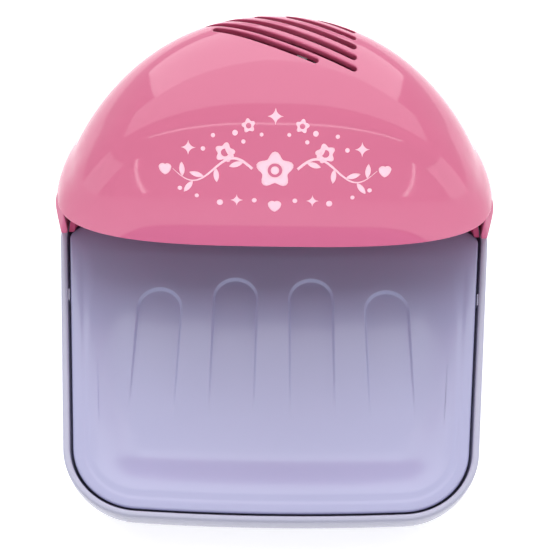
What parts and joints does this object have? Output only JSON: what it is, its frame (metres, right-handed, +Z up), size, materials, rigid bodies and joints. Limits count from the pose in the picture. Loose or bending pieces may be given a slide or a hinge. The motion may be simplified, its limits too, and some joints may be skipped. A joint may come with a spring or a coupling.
{
  "type": "nail polish fan dryer",
  "caption": "Battery fan dryer for finger nails: a slotted dome hood blows down on a dished, grooved tray that is pressed to start the fan.",
  "frame": {"origin": "on the table, under the middle of the body", "axes": "+X to the right across the tray, +Y to the back where the hood stands, +Z up; the finger side faces -Y"},
  "size_m": [0.132, 0.142, 0.082],
  "materials": {
    "lilac_base": "semi-gloss lilac",
    "lilac_tray": "satin lilac",
    "pink_hood": "high gloss pink",
    "pink_liner": "satin dark pink",
    "pink_grille": "satin pink",
    "fan_white": "matt white",
    "shaft_steel": "ground",
    "can_steel": "plated sheet",
    "black_plastic": "matt black",
    "bracket_plastic": "matt white",
    "screw_steel": "zinc plated",
    "lilac_door": "satin lilac",
    "cell_jacket": "printed film",
    "contact_nickel": "nickel plated",
    "plunger_red": "gloss red",
    "terminal_brass": "tinned brass",
    "spring_steel": "drawn wire",
    "foot_rubber": "matt",
    "sleeve_red": "soft sleeve",
    "sleeve_black": "soft sleeve"
  },
  "bodies": {
    "housing": {"base_shell": "lilac_base", "hood_shell": "pink_hood", "inner_liner": "pink_liner", "outlet_grille": "pink_grille", "motor_can": "can_steel", "motor_end_cap": "black_plastic", "motor_bracket": "bracket_plastic", "motor_screws": "screw_steel", "liner_screws": "screw_steel", "case_screws": "screw_steel", "battery_front": "cell_jacket", "battery_rear": "cell_jacket", "contact_bridge": "contact_nickel", "contact_spring": "contact_nickel", "contact_plate": "contact_nickel", "switch_body": "black_plastic", "switch_terminals": "terminal_brass", "switch_screws": "screw_steel", "tray_spring_left": "spring_steel", "tray_spring_right": "spring_steel", "rubber_feet": "foot_rubber", "wire_battery": "sleeve_red", "wire_switch": "sleeve_red", "wire_motor": "sleeve_black"},
    "tray": {"press_tray": "lilac_tray"},
    "fan": {"fan_impeller": "fan_white", "motor_shaft": "shaft_steel"},
    "button": {"switch_plunger": "plunger_red"},
    "door": {"battery_door": "lilac_door"}
  },
  "joints": [
    {"name": "tray_press", "type": "hinge", "parent": "housing", "child": "tray", "pos_m": [0, 0.032, 0.0113], "axis": [1, 0, 0], "range_deg": [0, 1.4], "stiffness_Nm_per_rad": 4, "springref_deg": -1.15, "deforming": ["tray_spring_left", "tray_spring_right"]},
    {"name": "switch_push", "type": "slide", "parent": "housing", "child": "button", "axis": [0, 0, -1], "range_m": [0, 0.0015]},
    {"name": "fan_spin", "type": "hinge", "parent": "housing", "child": "fan", "pos_m": [0, 0.04, 0.06], "axis": [0, 0, 1], "continuous": true},
    {"name": "door_slide", "type": "slide", "parent": "housing", "child": "door", "axis": [0, 1, 0], "range_m": [0, 0.0036]}
  ],
  "couplings": [
    {"joint": "switch_push", "follows": "tray_press", "m_per_rad": 0.04}
  ]
}
